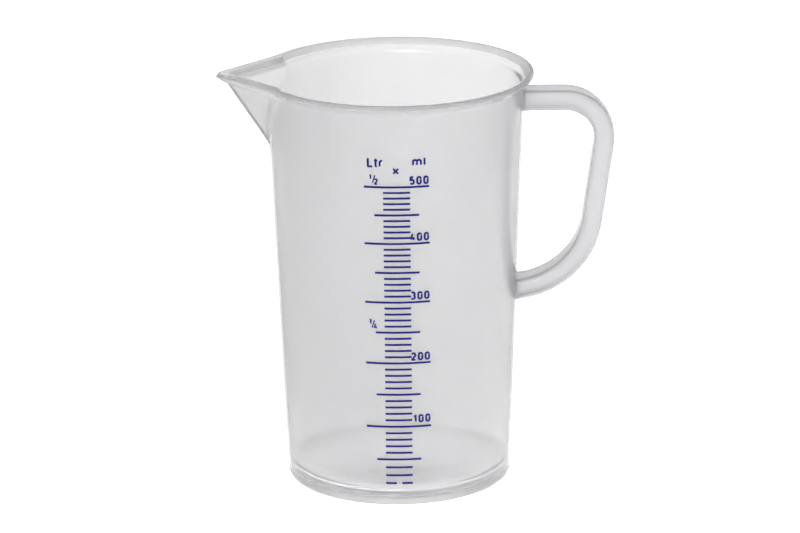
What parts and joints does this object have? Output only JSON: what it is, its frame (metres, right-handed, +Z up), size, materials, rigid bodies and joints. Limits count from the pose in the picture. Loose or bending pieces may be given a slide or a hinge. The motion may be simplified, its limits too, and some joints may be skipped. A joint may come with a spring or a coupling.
{
  "type": "measuring jug",
  "caption": "Tapered translucent plastic measuring jug with a turned-out rim, V-shaped pouring spout, open loop handle and a printed scale marked by volume",
  "frame": {"origin": "on the vessel's axis, at the centre of the ring it stands on, in the standing plane", "axes": "+Z up along the vessel's axis, +X towards the handle, -X towards the spout, -Y the side with the printed scale"},
  "size_m": [0.1338, 0.0926, 0.141],
  "materials": {
    "natural_polypropylene": "satin moulded polypropylene, natural and translucent",
    "navy_ink": "screen-printed navy ink"
  },
  "bodies": {
    "root": {"base_pan": "natural_polypropylene", "vessel_wall": "natural_polypropylene", "rim_lip": "natural_polypropylene", "pouring_spout": "natural_polypropylene", "loop_handle": "natural_polypropylene", "long_graduations": "navy_ink", "medium_graduations": "navy_ink", "short_graduations": "navy_ink"}
  },
  "joints": []
}
